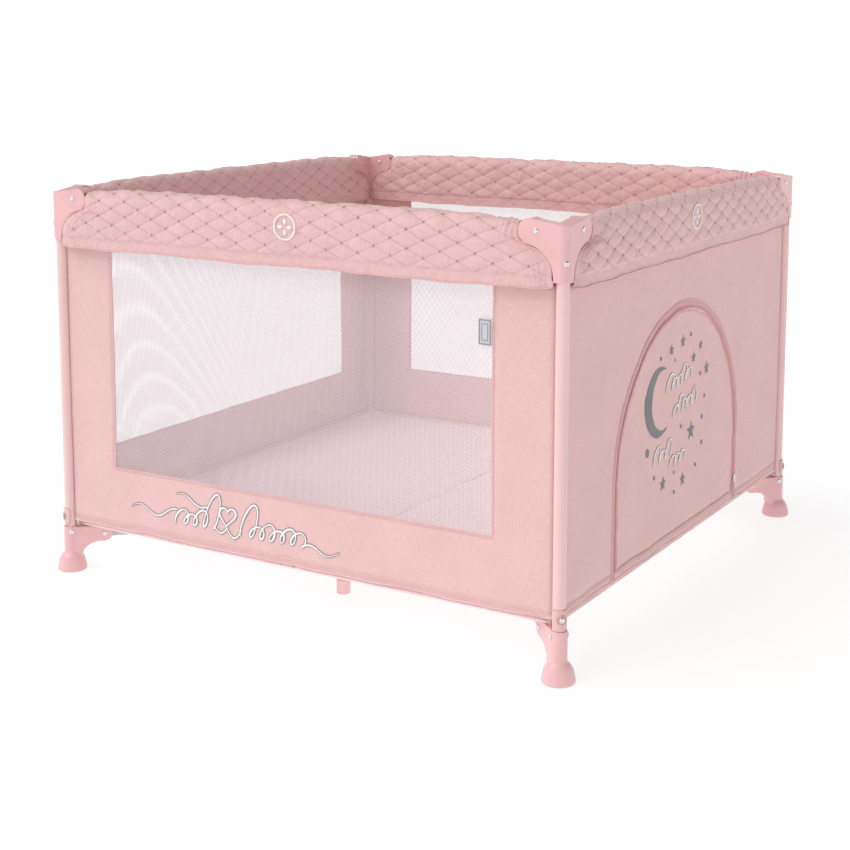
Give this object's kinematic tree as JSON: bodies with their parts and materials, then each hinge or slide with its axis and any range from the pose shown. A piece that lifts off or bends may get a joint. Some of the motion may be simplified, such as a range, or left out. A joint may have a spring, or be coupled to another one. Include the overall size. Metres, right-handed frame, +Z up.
{
  "type": "folding playpen",
  "caption": "Square folding playpen with a hinged steel frame, padded rail covers, net windows and an arched zip door in one side.",
  "frame": {"origin": "centre of the footprint on the floor", "axes": "+X to the right along the front side, +Y to the back, +Z up; the door is in the +X side"},
  "size_m": [1.1166, 1.1166, 0.756],
  "materials": {
    "post_steel": "satin powder coat",
    "moulding": "fine satin",
    "button": "satin",
    "bare_steel": "bright zinc",
    "grey_steel": "satin grey",
    "floor_cloth": "woven",
    "quilt": "quilted woven melange",
    "wall_cloth": "woven melange"
  },
  "bodies": {
    "post_fl": {"post_fl": "post_steel", "bracket_fl": "moulding", "foot_fl": "moulding", "rivets_fl": "bare_steel", "wall_front": "wall_cloth"},
    "post_fr": {"post_fr": "post_steel", "bracket_fr": "moulding", "foot_fr": "moulding", "rivets_fr": "bare_steel", "wall_right": "wall_cloth"},
    "post_rl": {"post_rl": "post_steel", "bracket_rl": "moulding", "foot_rl": "moulding", "rivets_rl": "bare_steel", "wall_left": "wall_cloth"},
    "post_rr": {"post_rr": "post_steel", "bracket_rr": "moulding", "foot_rr": "moulding", "rivets_rr": "bare_steel", "wall_rear": "wall_cloth"},
    "floor_tube_fl": {"floor_tube_fl": "grey_steel", "floor_pad_fl": "floor_cloth"},
    "floor_tube_fr": {"floor_tube_fr": "grey_steel", "floor_pad_fr": "floor_cloth"},
    "floor_tube_rl": {"floor_tube_rl": "grey_steel", "floor_pad_rl": "floor_cloth"},
    "floor_tube_rr": {"floor_tube_rr": "grey_steel", "floor_pad_rr": "floor_cloth"},
    "rail_front_a": {"rail_front_a": "grey_steel", "cover_front_a": "quilt"},
    "rail_front_b": {"rail_front_b": "grey_steel", "cover_front_b": "quilt"},
    "latch_front": {"latch_front": "moulding"},
    "button_front": {"button_front": "button"},
    "rail_right_a": {"rail_right_a": "grey_steel", "cover_right_a": "quilt"},
    "rail_right_b": {"rail_right_b": "grey_steel", "cover_right_b": "quilt"},
    "latch_right": {"latch_right": "moulding"},
    "button_right": {"button_right": "button"},
    "rail_rear_a": {"rail_rear_a": "grey_steel", "cover_rear_a": "quilt"},
    "rail_rear_b": {"rail_rear_b": "grey_steel", "cover_rear_b": "quilt"},
    "latch_rear": {"latch_rear": "moulding"},
    "button_rear": {"button_rear": "button"},
    "rail_left_a": {"rail_left_a": "grey_steel", "cover_left_a": "quilt"},
    "rail_left_b": {"rail_left_b": "grey_steel", "cover_left_b": "quilt"},
    "latch_left": {"latch_left": "moulding"},
    "button_left": {"button_left": "button"},
    "hub": {"hub": "moulding", "hub_rivets": "bare_steel"},
    "support_leg_front": {"support_leg_front": "post_steel"},
    "support_leg_rear": {"support_leg_rear": "post_steel"},
    "door_flap": {"door_flap": "wall_cloth"},
    "zip_slider": {"zip_slider": "bare_steel"}
  },
  "joints": [
    {"name": "fold", "type": "hinge", "parent": "post_fl", "child": "floor_tube_fl", "pos_m": [-0.48545, -0.48545, 0.07], "axis": [0.7071, -0.7071, 0], "range_deg": [0, 85], "deforming": ["wall_front", "wall_right", "wall_rear", "wall_left", "cover_front_a", "cover_front_b", "cover_right_a", "cover_right_b", "cover_rear_a", "cover_rear_b", "cover_left_a", "cover_left_b", "floor_pad_fl", "floor_pad_fr", "floor_pad_rl", "floor_pad_rr", "door_flap"]},
    {"name": "hub_level", "type": "hinge", "parent": "floor_tube_fl", "child": "hub", "pos_m": [-0.03245, -0.03245, 0.07], "axis": [0.7071, -0.7071, 0], "range_deg": [-85, 0]},
    {"name": "floor_hinge_fr", "type": "hinge", "parent": "hub", "child": "floor_tube_fr", "pos_m": [0.03245, -0.03245, 0.07], "axis": [0.7071, 0.7071, 0], "range_deg": [0, 85]},
    {"name": "foot_hinge_fr", "type": "hinge", "parent": "floor_tube_fr", "child": "post_fr", "pos_m": [0.48545, -0.48545, 0.07], "axis": [0.7071, 0.7071, 0], "range_deg": [-85, 0]},
    {"name": "floor_hinge_rl", "type": "hinge", "parent": "hub", "child": "floor_tube_rl", "pos_m": [-0.03245, 0.03245, 0.07], "axis": [-0.7071, -0.7071, 0], "range_deg": [0, 85]},
    {"name": "foot_hinge_rl", "type": "hinge", "parent": "floor_tube_rl", "child": "post_rl", "pos_m": [-0.48545, 0.48545, 0.07], "axis": [-0.7071, -0.7071, 0], "range_deg": [-85, 0]},
    {"name": "floor_hinge_rr", "type": "hinge", "parent": "hub", "child": "floor_tube_rr", "pos_m": [0.03245, 0.03245, 0.07], "axis": [-0.7071, 0.7071, 0], "range_deg": [0, 85]},
    {"name": "foot_hinge_rr", "type": "hinge", "parent": "floor_tube_rr", "child": "post_rr", "pos_m": [0.48545, 0.48545, 0.07], "axis": [-0.7071, 0.7071, 0], "range_deg": [-85, 0]},
    {"name": "rail_hinge_front_a", "type": "hinge", "parent": "post_fl", "child": "rail_front_a", "pos_m": [-0.488, -0.53, 0.731], "axis": [0, 1, 0], "range_deg": [0, 85]},
    {"name": "latch_hinge_front", "type": "hinge", "parent": "rail_front_a", "child": "latch_front", "pos_m": [-0.035, -0.53, 0.731], "axis": [0, 1, 0], "range_deg": [-85, 0]},
    {"name": "rail_hinge_front_b", "type": "hinge", "parent": "post_fr", "child": "rail_front_b", "pos_m": [0.488, -0.53, 0.731], "axis": [0, -1, 0], "range_deg": [0, 85]},
    {"name": "button_press_front", "type": "slide", "parent": "latch_front", "child": "button_front", "axis": [0, 0, 1], "range_m": [0, 0.005], "stiffness_N_per_m": 600, "springref_m": -0.004},
    {"name": "rail_hinge_right_a", "type": "hinge", "parent": "post_fr", "child": "rail_right_a", "pos_m": [0.53, -0.488, 0.731], "axis": [-1, 0, 0], "range_deg": [0, 85]},
    {"name": "latch_hinge_right", "type": "hinge", "parent": "rail_right_a", "child": "latch_right", "pos_m": [0.53, -0.035, 0.731], "axis": [-1, 0, 0], "range_deg": [-85, 0]},
    {"name": "rail_hinge_right_b", "type": "hinge", "parent": "post_rr", "child": "rail_right_b", "pos_m": [0.53, 0.488, 0.731], "axis": [1, 0, 0], "range_deg": [0, 85]},
    {"name": "button_press_right", "type": "slide", "parent": "latch_right", "child": "button_right", "axis": [0, 0, 1], "range_m": [0, 0.005], "stiffness_N_per_m": 600, "springref_m": -0.004},
    {"name": "rail_hinge_rear_a", "type": "hinge", "parent": "post_rr", "child": "rail_rear_a", "pos_m": [0.488, 0.53, 0.731], "axis": [0, -1, 0], "range_deg": [0, 85]},
    {"name": "latch_hinge_rear", "type": "hinge", "parent": "rail_rear_a", "child": "latch_rear", "pos_m": [0.035, 0.53, 0.731], "axis": [0, -1, 0], "range_deg": [-85, 0]},
    {"name": "rail_hinge_rear_b", "type": "hinge", "parent": "post_rl", "child": "rail_rear_b", "pos_m": [-0.488, 0.53, 0.731], "axis": [0, 1, 0], "range_deg": [0, 85]},
    {"name": "button_press_rear", "type": "slide", "parent": "latch_rear", "child": "button_rear", "axis": [0, 0, 1], "range_m": [0, 0.005], "stiffness_N_per_m": 600, "springref_m": -0.004},
    {"name": "rail_hinge_left_a", "type": "hinge", "parent": "post_rl", "child": "rail_left_a", "pos_m": [-0.53, 0.488, 0.731], "axis": [1, 0, 0], "range_deg": [0, 85]},
    {"name": "latch_hinge_left", "type": "hinge", "parent": "rail_left_a", "child": "latch_left", "pos_m": [-0.53, 0.035, 0.731], "axis": [1, 0, 0], "range_deg": [-85, 0]},
    {"name": "rail_hinge_left_b", "type": "hinge", "parent": "post_fl", "child": "rail_left_b", "pos_m": [-0.53, -0.488, 0.731], "axis": [-1, 0, 0], "range_deg": [0, 85]},
    {"name": "button_press_left", "type": "slide", "parent": "latch_left", "child": "button_left", "axis": [0, 0, 1], "range_m": [0, 0.005], "stiffness_N_per_m": 600, "springref_m": -0.004},
    {"name": "leg_hinge_front", "type": "hinge", "parent": "hub", "child": "support_leg_front", "pos_m": [0, -0.05, 0.07], "axis": [1, 0, 0], "range_deg": [0, 85]},
    {"name": "leg_hinge_rear", "type": "hinge", "parent": "hub", "child": "support_leg_rear", "pos_m": [0, 0.05, 0.07], "axis": [-1, 0, 0], "range_deg": [0, 85]},
    {"name": "door_fold", "type": "hinge", "parent": "post_fr", "child": "door_flap", "pos_m": [0.5355, -0.035, 0.125], "axis": [0, 1, 0], "range_deg": [0, 100]},
    {"name": "zip_pull", "type": "slide", "parent": "post_fr", "child": "zip_slider", "axis": [0, 0, 1], "range_m": [0, 0.1]}
  ],
  "couplings": [
    {"joint": "hub_level", "follows": "fold", "ratio": -1},
    {"joint": "floor_hinge_fr", "follows": "fold", "ratio": 1},
    {"joint": "foot_hinge_fr", "follows": "fold", "ratio": -1},
    {"joint": "floor_hinge_rl", "follows": "fold", "ratio": 1},
    {"joint": "foot_hinge_rl", "follows": "fold", "ratio": -1},
    {"joint": "floor_hinge_rr", "follows": "fold", "ratio": 1},
    {"joint": "foot_hinge_rr", "follows": "fold", "ratio": -1},
    {"joint": "rail_hinge_front_a", "follows": "fold", "ratio": 1},
    {"joint": "latch_hinge_front", "follows": "fold", "ratio": -1},
    {"joint": "rail_hinge_front_b", "follows": "fold", "ratio": 1},
    {"joint": "rail_hinge_right_a", "follows": "fold", "ratio": 1},
    {"joint": "latch_hinge_right", "follows": "fold", "ratio": -1},
    {"joint": "rail_hinge_right_b", "follows": "fold", "ratio": 1},
    {"joint": "rail_hinge_rear_a", "follows": "fold", "ratio": 1},
    {"joint": "latch_hinge_rear", "follows": "fold", "ratio": -1},
    {"joint": "rail_hinge_rear_b", "follows": "fold", "ratio": 1},
    {"joint": "rail_hinge_left_a", "follows": "fold", "ratio": 1},
    {"joint": "latch_hinge_left", "follows": "fold", "ratio": -1},
    {"joint": "rail_hinge_left_b", "follows": "fold", "ratio": 1},
    {"joint": "leg_hinge_front", "follows": "fold", "ratio": 1},
    {"joint": "leg_hinge_rear", "follows": "fold", "ratio": 1}
  ]
}
